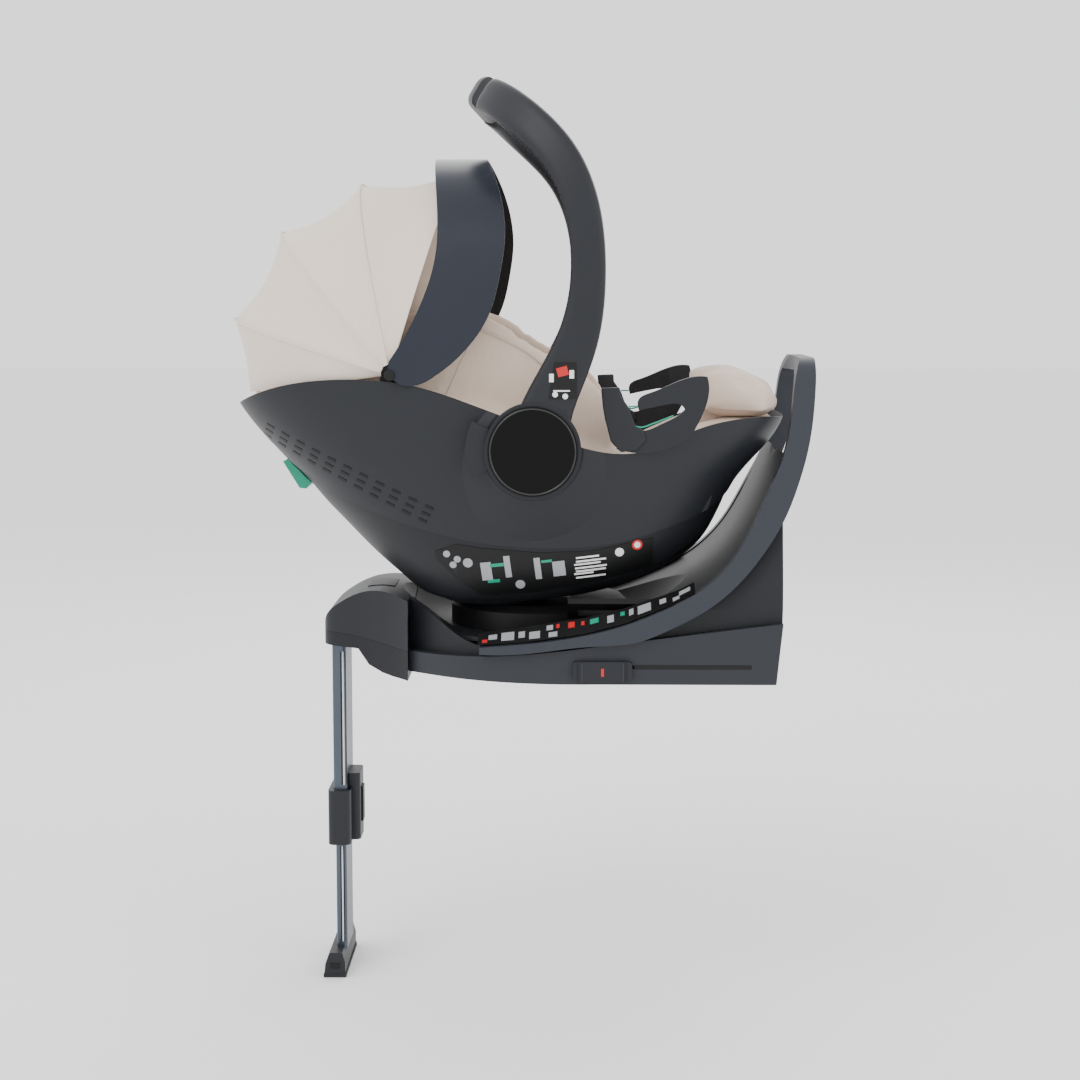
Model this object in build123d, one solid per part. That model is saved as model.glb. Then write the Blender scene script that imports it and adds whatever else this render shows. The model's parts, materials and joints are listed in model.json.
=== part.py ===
from build123d import *
import math
import os

# Infant carrier on a rotating car base. Millimetres. X runs from the head end (-X) to the foot end
# (+X), Y across, Z up. The origin is where the swivel axis meets the flat underside of the base.

# carrier shell
shell_wall = 4.5
seam_step = 2.0
foam_wall = 16.0
layer_gap = 0.5
oval_points = 20
head_blunt = 2.5
foot_blunt = 3.0

# handle hub and canopy pivot
hub_x, hub_z = -4.4, 264.8
hub_radius = 53.0
hub_face = 222.0
flare_face = 198.5
handle_inner = 200.0
handle_outer = 219.0
axle_radius = 12.0
running_gap = 0.06
pivot_x, pivot_z = -162.5, 346.5
pivot_radius = 3.0

# base
base_half_width = 186.0
lower_half_width = 179.6
bowl_floor = 46.0
turntable_top = 76.5
turntable_radius = 106.0
arm_y = 140.0
slot_z = 20.0
clear_fit = 0.4

# support leg
leg_x = -239.4
leg_hinge_x, leg_hinge_z = -205.0, 38.0
foot_bottom = -380.0
upper_tube_end = -200.0

nodes = {}


# ---- drawing helpers ----

def side_face(edges):
    return Plane.XZ * make_face(edges)


def prism(face, half_width):
    return extrude(face, amount=half_width, both=True)


def near_prism(edges, inner, outer):
    """A side-view outline run across Y from -inner to -outer."""
    return extrude(Plane.XZ.offset(inner) * make_face(edges), amount=outer - inner)


def both_sides(solid):
    return solid + mirror(solid, about=Plane.XZ)


def box(x_range, y_range, z_range):
    ranges = (x_range, y_range, z_range)
    centre = [(high + low) / 2 for low, high in ranges]
    return Pos(*centre) * Box(*[high - low for low, high in ranges])


def y_cylinder(x, z, radius, y_low, y_high):
    return Pos(x, (y_low + y_high) / 2, z) * Rot(90, 0, 0) * Cylinder(radius, y_high - y_low)


def z_cylinder(radius, z_low, z_high, x=0.0, y=0.0):
    return Pos(x, y, (z_low + z_high) / 2) * Cylinder(radius, z_high - z_low)


def under(curve, floor):
    """The side-view region below a curve that runs from -X to +X."""
    start, end = curve[0], curve[-1]
    return side_face([Spline(*curve), Polyline(end, (end[0], floor), (start[0], floor), start)])


def between(low_curve, high_curve):
    ends = [Line(low_curve[-1], high_curve[-1]), Line(high_curve[0], low_curve[0])]
    return side_face([Spline(*low_curve), Spline(*high_curve)] + ends)


def rounded_power(value, power):
    return math.copysign(abs(value) ** (2 / power), value)


def super_oval(half_x, half_y, power, points=12):
    """A rounded rectangle drawn as one smooth closed curve."""
    angles = [2 * math.pi * step / points for step in range(points)]
    outline = [(half_x * rounded_power(math.cos(a), power), half_y * rounded_power(math.sin(a), power))
               for a in angles]
    return make_face([Spline(*outline, periodic=True)])


# ---- carrier hull: height, reach towards the head, reach towards the foot, half width ----

hull_stations = [
    (78, -116, 10, 96),
    (87, -141, 55, 115),
    (98, -157, 101, 131),
    (117, -178, 146, 149),
    (141, -204, 184, 162),
    (166, -228, 204, 170),
    (192, -253, 217, 177),
    (222, -279, 232, 184),
    (250, -306, 256, 188),
    (276, -330, 278, 190),
    (303, -351, 290, 191),
    (350, -363, 292, 191),
    (440, -368, 292, 191),
]
rim_curve = [(-375, 293), (-309, 327), (-220, 341), (-130, 333), (-58, 309), (0, 287), (50, 267),
             (86, 260), (122, 263), (175, 285), (224, 296), (300, 291)]
seam_curve = [(-375, 284), (-330, 265), (-264, 226), (-203, 197), (-140, 175), (-64, 158), (22, 152),
              (83, 157), (144, 173), (207, 200), (249, 238), (300, 281)]
wing_curve = [(-375, 306), (-300, 345), (-220, 388), (-140, 416), (-60, 411), (13, 371), (62, 336), (86, 266)]
wing_half_width = 150.0


def oval(height, head, foot, half_width):
    centre = (head + foot) / 2
    reach = (foot - head) / 2
    points = []
    for step in range(oval_points):
        angle = 2 * math.pi * step / oval_points
        across, along = math.sin(angle), math.cos(angle)
        blunt = foot_blunt if along > 0 else head_blunt
        points.append((centre + reach * rounded_power(along, blunt),
                       half_width * rounded_power(across, blunt)))
    return Pos(0, 0, height) * make_face([Spline(*points, periodic=True)])


def hull(inset, lift):
    """The carrier's outer body, drawn in by inset and raised by lift."""
    return loft([oval(z + lift, head + inset, foot - inset, width - inset)
                 for z, head, foot, width in hull_stations])


inner_inset = shell_wall * 0.6
foam_inset = inner_inset + foam_wall * 0.7
outer_hull = hull(0, 0)
stepped_hull = hull(seam_step, 0)
inner_hull = hull(inner_inset, shell_wall)
foam_outer = hull(inner_inset + layer_gap, shell_wall + layer_gap)
foam_inner = hull(foam_inset, shell_wall + foam_wall)
liner_outer = hull(foam_inset + layer_gap, shell_wall + foam_wall + layer_gap)


def hub_flare():
    """The cone that carries the handle hub out from the shell."""
    face_plane = Plane((hub_x, -flare_face, hub_z), x_dir=(1, 0, 0), z_dir=(0, -1, 0))
    root_plane = Plane((hub_x, -120, hub_z - 32), x_dir=(1, 0, 0), z_dir=(0, -1, 0))
    return loft([root_plane * Ellipse(205, 150), face_plane * Circle(hub_radius + 3)])


def window(low, high):
    return box((low, high), (-34, 34), (60, 112))


def upper_shell():
    body = (outer_hull + both_sides(hub_flare())) - inner_hull
    body = body & prism(between(seam_curve, rim_curve), 260)
    body -= box((-360, -270), (-62, 62), (205, 262))
    return body


def lower_shell():
    body = (stepped_hull - inner_hull) & prism(under(seam_curve, 60), 260)
    body -= window(-92, -58)
    body -= window(10, 44)
    body -= box((-360, -262), (-62, 62), (196, 262))
    return body


def energy_foam():
    body = (foam_outer - foam_inner) & prism(under([(x, z - foam_drop) for x, z in rim_curve], 60), 260)
    return body - box((-100, 52), (-42, 42), (60, 112)) - both_sides(canopy_notch())


# seat well: height, head reach, foot reach, half width
well_stations = [
    (128, -6, 92, 52),
    (140, -30, 112, 72),
    (175, -92, 150, 96),
    (215, -172, 186, 110),
    (260, -246, 214, 120),
    (300, -300, 236, 128),
    (340, -318, 252, 134),
    (450, -322, 258, 140),
]


def seat_well(inset, lift):
    return loft([oval(z + lift, head + inset, foot - inset, width - inset)
                 for z, head, foot, width in well_stations])


def seat_liner():
    """The padded tub, with a lip over the foam and a wing on each side of the head."""
    tub = liner_outer & prism(under([(x, z - foam_drop) for x, z in rim_curve], 60), 260)
    lip_low = [(x, z - foam_drop + 0.5) for x, z in rim_curve]
    lip = foam_outer & prism(between(lip_low, [(x, z - 1.5) for x, z in rim_curve]), 260)
    wing_low = [(x, z - 6) for x, z in rim_curve[:8]]
    wings = liner_outer & prism(between(wing_low, wing_curve), wing_half_width)
    body = tub + lip + wings
    return body - seat_well(0, 0) - both_sides(canopy_notch())


foam_drop = 36.0


def canopy_notch():
    return box((pivot_x - 14, pivot_x + 14), (-200, -169), (pivot_z - 48, pivot_z + 20))


insert_curve = [(-330, 322), (-200, 300), (-100, 262), (0, 232), (60, 214), (130, 214), (165, 222)]


def newborn_insert():
    body = (seat_well(layer_gap, layer_gap) & prism(under(insert_curve, 60), 176)) - seat_well(22, 17)
    return body - box((96, 220), (-18, 18), (130, 280)) - box((52, 78), (-28, 28), (120, 160))


# ---- carrier hardware ----

def handle_axles():
    stub = y_cylinder(hub_x, hub_z, axle_radius, -214, -flare_face)
    return both_sides(stub)


def latch_bars():
    bars = [y_cylinder(x, 84.0, 4.0, -33.5, 33.5) for x in (-75, 27)]
    return bars[0] + bars[1]


def belt_horn():
    """A hooked guide that the car's lap belt drops into."""
    outline = [
        Spline((80, 268), (76, 300), (74, 314)),
        Line((74, 314), (91, 314)),
        Spline((91, 314), (97, 305), (106, 291), (116, 286), (135, 292), (155, 302), (163, 309)),
        Spline((163, 309), (156, 315), (140, 314), (125, 311), (112, 308)),
        Spline((112, 308), (113, 322), (126, 328), (150, 338), (172, 345), (187, 345)),
        Spline((187, 345), (189, 336), (184, 308), (176, 291), (170, 280)),
        Spline((170, 280), (130, 262), (80, 268)),
    ]
    return near_prism(outline, 176.8, 186.5)


def belt_guides():
    horn = belt_horn()
    horn = horn - outer_hull_rim
    return both_sides(horn)


# ---- carry handle: x, half y, z, width, thickness, direction of the width in degrees ----

handle_stations = [
    (-4, 209.6, 262, 66, 17.6, 0),
    (10, 209.6, 306, 58, 17.6, -8),
    (30, 209.6, 352, 50, 17.8, -10),
    (47, 209.8, 396, 44, 18, -8),
    (55, 209.8, 444, 39, 18.4, 0),
    (54.5, 209.5, 492, 38, 19, 7),
    (45, 206, 541, 39, 21, 20),
    (25, 196, 583, 41, 23, 35),
    (-2, 178, 614, 43, 25, 45),
    (-28, 150, 637, 43, 26, 52),
    (-48, 114, 652.5, 41, 27, 56),
    (-58.5, 78, 660, 38.5, 27, 58),
]
grip_stations = [
    (-58.5, 78, 660, 38.5, 27, 58),
    (-64.7, 40, 664, 36.5, 27, 59),
    (-66.7, 0, 665, 36, 27, 59),
]


def wide_direction(angle):
    return Vector(math.cos(math.radians(angle)), 0, math.sin(math.radians(angle)))


def handle_arm():
    """The near arm, from the hub up to the grip, with its last section facing along Y."""
    path = [(x, -y, z, width, thick, angle) for x, y, z, width, thick, angle in handle_stations]
    sections = []
    for index, (x, y, z, width, thick, angle) in enumerate(path):
        before = Vector(*path[max(index - 1, 0)][:3])
        after = Vector(*path[min(index + 1, len(path) - 1)][:3])
        along = (after - before).normalized()
        if index == len(path) - 1:
            along = Vector(0, 1, 0)
        wide = wide_direction(angle)
        wide = (wide - along * wide.dot(along)).normalized()
        plane = Plane((x, y, z), x_dir=wide, z_dir=along)
        sections.append(plane * super_oval(width / 2, thick / 2, 3.4))
    return loft(sections)


def handle_grip():
    near = [(x, -y, z, width, thick, angle) for x, y, z, width, thick, angle in grip_stations]
    sections = []
    for x, y, z, width, thick, angle in near + list(reversed(grip_stations))[1:]:
        plane = Plane((x, y, z), x_dir=wide_direction(angle), z_dir=(0, 1, 0))
        sections.append(plane * super_oval(width / 2, thick / 2, 3.4))
    return loft(sections)


def handle_bow():
    ring = y_cylinder(hub_x, hub_z, hub_radius, -handle_outer, -handle_inner)
    bore = y_cylinder(hub_x, hub_z, axle_radius + running_gap, -216, -190)
    return both_sides(handle_arm() + ring - bore)


def hub_caps():
    cap = y_cylinder(hub_x, hub_z, hub_radius - 4, -hub_face, -handle_outer - 0.05)
    return both_sides(cap)


def handle_button():
    """An ear beside the hub, on the side towards the head."""
    ear = y_cylinder(hub_x, hub_z, 74, -212, -203.5) - y_cylinder(hub_x, hub_z, hub_radius + clear_fit, -230, -190)
    wedge = near_prism([Polyline((hub_x, hub_z), (-100, 312), (-100, 226), (hub_x, hub_z))], 195, 220)
    return ear & wedge


# ---- canopy ----

rib_angles = [163.0, 131.0, 101.7]
rib_heights = [206.0, 213.0, 220.0]
rib_widths = [175.0, 178.0, 181.0]
rib_thickness = 2.2
rib_depth = 6.0
rib_drop = 5.0
eye_radius = 7.0
rib_powers = [2.2, 2.35, 2.5]
arch_points = 14


def arch_face(half_width, height, power, thickness, foot):
    """A thin arch drawn across Y, standing on the canopy's pivot line."""
    def arc(shrink):
        points = []
        for step in range(arch_points + 1):
            angle = math.pi * step / arch_points
            points.append(((half_width - shrink) * rounded_power(math.cos(angle), power),
                           (height - shrink) * rounded_power(math.sin(angle), power)))
        return [point for point in points if point[1] > foot]
    outer, inner = arc(0), arc(thickness)
    outer = [(half_width, foot)] + outer + [(-half_width, foot)]
    inner = [(half_width - thickness, foot)] + inner + [(-half_width + thickness, foot)]
    ends = [Line(outer[0], inner[0]), Line(outer[-1], inner[-1])]
    return make_face([Spline(*outer), Spline(*inner)] + ends)


def rib_plane(angle):
    """Across Y, and up along the rib's own direction from the pivot line."""
    along = (math.cos(math.radians(angle)), 0, math.sin(math.radians(angle)))
    across = Vector(0, 1, 0)
    return Plane((pivot_x, 0, pivot_z), x_dir=across, z_dir=across.cross(Vector(*along)))


def canopy_rib(index):
    width = rib_widths[index]
    arch = arch_face(width, rib_heights[index] - rib_drop, rib_powers[index], rib_thickness, 4)
    bow = extrude(rib_plane(rib_angles[index]) * arch, amount=rib_depth / 2, both=True)
    eye = y_cylinder(pivot_x, pivot_z, eye_radius, -width, rib_thickness - width)
    bow += both_sides(eye)
    return bow - y_cylinder(pivot_x, pivot_z, pivot_radius + running_gap, -width - 1, width + 1)


def canopy_panel(lower, upper):
    """Fabric stretched between two arches, each given as angle, half width, height and power."""
    faces = []
    for angle, half_width, height, power in (lower, upper):
        faces.append(rib_plane(angle) * arch_face(half_width, height, power, 2.0, 24))
    return loft(faces, ruled=True)


visor_width = 190.0
visor_height = 245.0
visor_power = 2.5


def visor_region():
    back = Spline((-163, 362), (-151, 380), (-127, 427), (-113, 474), (-112, 530), (-121, 600))
    front = Spline((-66, 600), (-42, 545), (-36, 497), (-41, 458), (-53, 413), (-80, 373), (-112, 346))
    foot = Spline((-112, 346), (-128, 337), (-146, 335), (-159, 342), (-163, 362))
    return side_face([back, Line((-121, 600), (-66, 600)), front, foot])


def visor_arch(half_width, height, thickness):
    face = arch_face(half_width, height, visor_power, thickness, -20)
    outline = Plane((0, 0, pivot_z), x_dir=(0, 1, 0), z_dir=(1, 0, 0)) * face
    return extrude(outline, amount=400, both=True)


def canopy_visor():
    region = prism(visor_region(), 200)
    body = visor_arch(visor_width, visor_height, 2.6) & region
    return body - both_sides(y_cylinder(pivot_x, pivot_z, pivot_radius + running_gap, -200, -180))


def visor_lining():
    region = prism(visor_region(), 200) - box((-170, -100), (-200, 200), (300, 372))
    return visor_arch(visor_width - 3.0, visor_height - 3.0, 1.2) & region


def canopy_pins():
    pin = y_cylinder(pivot_x, pivot_z, pivot_radius, -190.2, -170)
    head = y_cylinder(pivot_x, pivot_z, 5.5, -192.5, -190.2)
    plate = box((pivot_x - 12, pivot_x + 12), (-172.4, -170), (pivot_z - 46, pivot_z + 8))
    return both_sides(pin + head + plate)


# ---- base: shared outlines ----

plan_half = [(-185, 80), (-150, 108), (-110, 140), (-60, 168), (0, 184), (60, 186)]
nose_half = [(-255, 36), (-247, 56), (-216, 66), (-185, 80), (-150, 108)]
base_seam = [(-262, 40), (-216, 36), (-175, 28), (-151, 24), (-90, 26), (-20, 32), (60, 42), (169, 56),
             (275, 69)]
lip_curve = [(-66, 39), (-20, 45), (52, 56), (98, 68), (143, 86), (182, 106), (224, 146), (256, 204),
             (277, 250), (289, 305), (296, 352), (302, 366)]
edge_curve = [(-66, 31), (-20, 34), (60, 44), (110, 48.5), (143, 61), (187, 84), (223, 112), (254, 147),
              (278, 184), (295, 224), (306, 260), (313.6, 305), (317, 366)]
wall_top = [(-150, 82), (-120, 66), (-92, 47), (-64, 37), (-20, 43), (52, 54), (98, 66), (143, 84),
            (182, 104), (224, 144), (256, 202), (274, 244), (279, 256)]
skirt_top = [(60, 43), (110, 46.4), (143, 60), (187, 83), (223, 111), (254, 146), (278, 183), (297, 229)]
bowl_wall = [(118, bowl_floor), (140, 58), (152, 72), (166, 90), (190, 116), (214, 142), (236, 175),
             (256, 212), (274, 244), (292, 276), (302, 300)]


def plan_prism(half, inset, low, high):
    """The base seen from above, run up Z. It stays open towards +X."""
    side = [(x + inset * 0.7, y - inset) for x, y in half]
    far = [(x, -y) for x, y in side]
    end = 330
    outline = [
        Spline(*side),
        Polyline(side[-1], (end, side[-1][1]), (end, far[-1][1]), far[-1]),
        Spline(*reversed(far)),
        Line(far[0], side[0]),
    ]
    return Pos(0, 0, low) * extrude(make_face(outline), amount=high - low)


def rear_outline(inset):
    """The base seen from behind, narrowing towards the top of the anti-rebound bar."""
    half = [(y - inset, z) for y, z in
            [(186, 84), (176, 118), (163, 150), (143, 204), (127, 250), (110, 305), (103, 330)]]
    near = [(-y, z) for y, z in half]
    top = 362.5 - inset
    corner = 38 - inset
    outline = [
        Line((near[0][0], -20), near[0]),
        Spline(*near),
        RadiusArc(near[-1], (-(103 - inset) + corner, top), corner * 1.02),
        Line((-(103 - inset) + corner, top), (103 - inset - corner, top)),
        RadiusArc((103 - inset - corner, top), half[-1], corner * 1.02),
        Spline(*reversed(half)),
        Polyline(half[0], (half[0][0], -20), (near[0][0], -20)),
    ]
    face = Plane((-260, 0, 0), x_dir=(0, 1, 0), z_dir=(1, 0, 0)) * make_face(outline)
    return extrude(face, amount=600)


def bowl():
    """Room for the carrier to turn, a body of revolution about the swivel axis."""
    outline = [Line((0, bowl_floor), bowl_wall[0]), Spline(*bowl_wall),
               Polyline(bowl_wall[-1], (302, 400), (0, 400), (0, bowl_floor))]
    return revolve(Plane.XZ * make_face(outline), axis=Axis.Z)


bar_depth = 17.0


def rebound_bar():
    """The ribbon round the bowl, which rises behind it into the anti-rebound bar."""
    ribbon = plan_prism(plan_half, 0, 0, 380) & rear_outline(0)
    ribbon -= plan_prism(plan_half, bar_depth, -5, 390) & rear_outline(bar_depth)
    ribbon = ribbon & prism(between(edge_curve, lip_curve), 200)
    return ribbon - bowl()


def upper_housing():
    core = plan_prism(plan_half, bar_depth + clear_fit, 0, 300) & rear_outline(bar_depth + clear_fit)
    core = core & prism(between(base_seam[3:], wall_top), 200)
    skirt = plan_prism(plan_half, 3, 0, 300) & rear_outline(3)
    skirt = skirt & prism(between(base_seam[6:], skirt_top), 200)
    body = (core + skirt) - bowl() - z_cylinder(149, 0, floor_under)
    body += z_cylinder(149, floor_under, bowl_floor)
    body -= z_cylinder(spindle_radius + 0.5, 30, 60)
    return body - bowl_handle_recess()


floor_under = 41.0
spindle_radius = 40.0
ring_radius = 56.0
ring_low = 33.0


def lower_housing():
    body = plan_prism(plan_half, base_half_width - lower_half_width, 0, 90)
    outline = [Spline(*base_seam[3:]), Polyline((275, 69), (268, 0), (-121, 0)),
               Polyline((-121, 0), (-151, -10), base_seam[3])]
    body = body & prism(side_face(outline), 200)
    for side in (-1, 1):
        body -= box((0, 262), sorted((side * 74, side * 171)), (4, 90))
        body -= box((255, 290), sorted((side * 126, side * 154)), (3, 29))
        body -= box((40, 240), sorted((side * 170, side * 190)), (slot_z - 2, slot_z + 2))
    body -= box((74, 262), (-76, 76), (20, 90))
    body -= box((-210, 300), (-42, 42), (-5, 13))
    body -= box((60, 300), (-68, 68), (-5, 12))
    body -= box((-45, 72), (-50, 50), (-5, 29))
    body -= z_cylinder(149.5, floor_under - clear_fit, 100)
    return body - z_cylinder(ring_radius + 0.3, ring_low - 0.4, 60)


def nose_block():
    outline = [
        Spline((-150.4, 82), (-175, 90), (-200, 90), (-236, 74), (-252, 58), (-255, 40), (-255, 24)),
        Polyline((-255, 24), (-213, 21), (-200, 3), (-183, -5), (-170, -8), (-151.4, -10.2), (-151.4, 60)),
        Line((-151.4, 60), (-150.4, 82)),
    ]
    return plan_prism(nose_half, 0, -30, 100) & prism(side_face(outline), 120) & box(
        (-260, -150.4), (-120, 120), (-40, 100))


def leg_cavity():
    quadrant = y_cylinder(leg_hinge_x, leg_hinge_z, 47, -40, 40) & box((-260, -205), (-41, 41), (-20, 49))
    cavity = quadrant + box((-217, -183), (-40, 40), (-30, 50)) + box((-251.5, -205), (-40, 40), (-30, 38))
    cavity += box((-206, -140), (-42, 42), (-30, 13))
    return cavity + y_cylinder(leg_hinge_x, leg_hinge_z, 4 + running_gap, -58, 58)


def leg_head():
    body = (nose_block() & prism(between(base_seam[:4], [(x, 140) for x, z in base_seam[:4]]), 150))
    return body - leg_cavity() - nose_plug(clear_fit, 66) - bowl()


def leg_yoke():
    body = nose_block() & prism(under([(x, z - 0.3) for x, z in base_seam[:4]], -40), 150)
    return body - leg_cavity()


def nose_plug(grow, low):
    return box((-204 - grow, -172 + grow), (-30 - grow, 30 + grow), (low, 110)) & nose_lid()


def nose_lid():
    outline = [Spline((-150, 83), (-175, 91), (-200, 91), (-236, 76)),
               Polyline((-236, 76), (-236, 60), (-150, 60), (-150, 83))]
    return prism(side_face(outline), 60)


def hinge_pin():
    return y_cylinder(leg_hinge_x, leg_hinge_z, 4, -57, 57)


# ---- recessed handle on the bowl wall, and the turntable ----

handle_slope = 38.0
handle_x = 80.0


def tilted(shape):
    return Pos(handle_x, -141, 80.5) * Rot(-handle_slope, 0, 0) * shape


def bowl_handle():
    plate = tilted(Box(92, 34, 7)) - tilted(Pos(0, 3, 0) * Box(70, 15, 20))
    return plate - bowl_guard()


def bowl_guard():
    return z_cylinder(121, 0, 120)


def bowl_handle_recess():
    return tilted(Pos(0, 0, 4.5) * Box(96, 38, 25))


def turntable():
    body = z_cylinder(turntable_radius, bowl_floor + clear_fit, turntable_top)
    body = chamfer(body.edges().sort_by(Axis.Z)[-1], 8)
    body += z_cylinder(spindle_radius, ring_low, bowl_floor + 1)
    body -= z_cylinder(30, 20, 68)
    return body


def bearing_ring():
    return z_cylinder(ring_radius, ring_low, floor_under - 0.3) - z_cylinder(spindle_radius + 0.1, 20, 60)


def latch_saddles():
    saddles = None
    for x in (-75, 27):
        lug = box((x - 9, x + 9), (-24, 24), (turntable_top, 92)) - y_cylinder(x, 84, 4.3, -40, 40)
        lug -= box((x - 4.3, x + 4.3), (-40, 40), (84, 100))
        saddles = lug if saddles is None else saddles + lug
    return saddles


# ---- anchor arms ----

block_face = 181.0


def anchor_arm(side):
    y_range = sorted((side * (arm_y - 11), side * (arm_y + 11)))
    arm = box((60, 262), y_range, (7, 25))
    arm -= box((238, 270), (side * arm_y - 30, side * arm_y + 30), (12.5, 19.5))
    arm -= box((205, 225), sorted((side * (arm_y - 5), side * (arm_y + 5))), (21, 26))
    stem = box((45, 101), sorted((side * (arm_y + 11), side * block_face)), (slot_z - 1.6, slot_z + 1.6))
    return arm + stem


def anchor_arms():
    rod = y_cylinder(84, 24.7, 3.6, -131, 131)
    return anchor_arm(-1) + anchor_arm(1) + rod


def slider_block(side):
    block = box((40, 106), sorted((side * block_face, side * 187)), (4, 27))
    block = fillet(block.edges().filter_by(Axis.Y), 4)
    for x in (44, 98):
        block -= box((x, x + 3), sorted((side * 185.8, side * 190)), (0, 30))
    return block


def arm_guides():
    guides = None
    for side in (-1, 1):
        floor = box((150, 261), sorted((side * 126.5, side * 154)), (4, 6.7))
        inner = box((150, 261), sorted((side * 124.5, side * 128.6)), (4, 20.5))
        outer = box((150, 261), sorted((side * 151.4, side * 154)), (22.5, 30))
        roof = box((150, 261), sorted((side * 132, side * 154)), (26.8, 30))
        guide = floor + inner + outer + roof
        guides = guide if guides is None else guides + guide
    return guides


def arm_button(side):
    return box((206, 224), sorted((side * (arm_y - 4.6), side * (arm_y + 4.6))), (21.5, 26.2))


# ---- support leg ----

def leg_section(thick, wide, corner):
    return RectangleRounded(thick, wide, corner)


def upper_tube():
    tube = extrude(leg_section(16.4, 75, 5), amount=220) - extrude(leg_section(13.2, 71.4, 4), amount=230)
    tube = Pos(leg_x, 0, upper_tube_end) * tube
    grooves = [box((leg_x - 9, leg_x - 7.6), (y - 3, y + 3), (-205, 25)) for y in (-18, 0, 18)]
    return tube - grooves[0] - grooves[1] - grooves[2]


def lower_tube():
    tube = extrude(leg_section(12.6, 70.8, 3.6), amount=269) - extrude(leg_section(9.4, 67.4, 3), amount=275)
    return Pos(leg_x, 0, -354) * tube


def leg_bracket():
    eye = y_cylinder(leg_hinge_x, leg_hinge_z, 10, -36, 36)
    arm = box((-231, leg_hinge_x), (-36, 36), (28, 47))
    head = box((-246.5, -230), (-36, 36), (20, 46.5))
    head = head & y_cylinder(leg_hinge_x, leg_hinge_z, 45.5, -50, 50)
    return eye + arm + head - y_cylinder(leg_hinge_x, leg_hinge_z, 4 + running_gap, -50, 50)


def leg_collar():
    sleeve = Pos(-240.2, 0, -222) * extrude(RectangleRounded(27, 92, 8), amount=66)
    bulge = Pos(-226, 0, -221) * extrude(RectangleRounded(18, 46, 6), amount=82)
    body = sleeve + bulge
    body -= Pos(leg_x, 0, upper_tube_end) * extrude(leg_section(16.4, 75, 5), amount=100)
    body -= Pos(leg_x, 0, -230) * extrude(leg_section(13.2, 71.4, 4), amount=40)
    return body - box((-224, -210), (-9.4, 9.4), (-202, -158))


def leg_button():
    return box((-220, -214.6), (-9, 9), (-201.5, -158.5))


def leg_foot():
    outline = [Polyline((-258, -376), (-233, -376), (-233, -362), (-236.5, -350), (-252, -350), (-257, -364),
                        (-258, -376))]
    body = prism(side_face(outline), 63)
    return body - Pos(leg_x, 0, -354) * extrude(leg_section(12.6, 70.8, 3.6), amount=20)


def leg_sole():
    return box((-259, -232), (-63.5, 63.5), (foot_bottom, -376))


# ---- inside the carrier ----

def headrest():
    """A padded head hugger that stands inside the insert."""
    layer = seat_well(40, 22) - seat_well(58, 22)
    outline = [Polyline((-320, 296), (-250, 262), (-150, 232), (-118, 232), (-118, 330), (-150, 368),
                        (-320, 368), (-320, 296))]
    return layer & prism(side_face(outline), 160)


def foot_cushion():
    outline = [Spline((178, 340), (205, 351), (230, 345), (264, 330), (281, 317), (290, 303)),
               Polyline((290, 303), (290, 300.5), (184, 300.5), (178, 340))]
    return prism(side_face(outline), 122) & hull(1, 0)


strap_path = [(-113, 241), (-92, 230.5), (-70, 221), (-20, 203), (30, 197), (51, 195)]


def lengthwise(path, low, high, inner, outer):
    """A strip that follows a side-view path, between two heights above it."""
    bottom = [(x, z + low) for x, z in path]
    top = [(x, z + high) for x, z in path]
    ends = [Line(bottom[-1], top[-1]), Line(top[0], bottom[0])]
    return near_prism([Spline(*bottom), Spline(*top)] + ends, inner, outer)


def strap(side):
    return lengthwise(strap_path, 0, 2, side * 48 - 19, side * 48 + 19)


def shoulder_pad(side):
    return lengthwise(strap_path[1:4], 2.4, 12, side * 48 - 24, side * 48 + 24)


def crotch_pad():
    return box((64, 76), (-26, 26), (150, 196))


def buckle():
    return box((51.5, 63.6), (-27, 27), (168, 206)) - box((54.5, 61.5), (-11.4, 11.4), (198, 210))


def buckle_button():
    return box((55, 61), (-11, 11), (202, 209))


def adjuster_strap():
    return lengthwise([(118, 154), (150, 186), (184, 222)], 0, 1.6, -12, 12)


def adjuster_button():
    return box((99, 116), (-14, 14), (150, 157))


def release_lever():
    """A green tab under the head end of the shell."""
    outline = [Polyline((-301, 240), (-296, 243), (-268, 215), (-274, 208), (-282, 209), (-301, 240))]
    return near_prism(outline, -48, 48)


outer_hull_rim = hull(-0.6, 0)

nodes["upper_shell"] = upper_shell()
nodes["lower_shell"] = lower_shell()
nodes["energy_foam"] = energy_foam()
nodes["seat_liner"] = seat_liner()
nodes["newborn_insert"] = newborn_insert()
nodes["foot_cushion"] = foot_cushion()
nodes["headrest"] = headrest()
nodes["handle_axles"] = handle_axles()
nodes["latch_bars"] = latch_bars()
nodes["belt_guides"] = belt_guides()
nodes["handle_bow"] = handle_bow()
nodes["handle_grip"] = handle_grip()
nodes["hub_caps"] = hub_caps()
nodes["handle_button_near"] = handle_button()
nodes["handle_button_far"] = mirror(handle_button(), about=Plane.XZ)
for index in range(3):
    nodes[f"canopy_rib_{index + 1}"] = canopy_rib(index)
arches = [(188.0, 173.0, 182.0, 2.0)]
arches += [(rib_angles[i], rib_widths[i] + 4.4, rib_heights[i], rib_powers[i]) for i in range(3)]
arches.append((73.0, 185.4, 240.0, 2.5))
for index in range(4):
    nodes[f"canopy_panel_{index + 1}"] = canopy_panel(arches[index], arches[index + 1])
nodes["canopy_visor"] = canopy_visor()
nodes["visor_lining"] = visor_lining()
nodes["canopy_pins"] = canopy_pins()
nodes["harness_strap_near"] = strap(1)
nodes["harness_strap_far"] = strap(-1)
nodes["shoulder_pad_near"] = shoulder_pad(1)
nodes["shoulder_pad_far"] = shoulder_pad(-1)
nodes["crotch_pad"] = crotch_pad()
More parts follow.
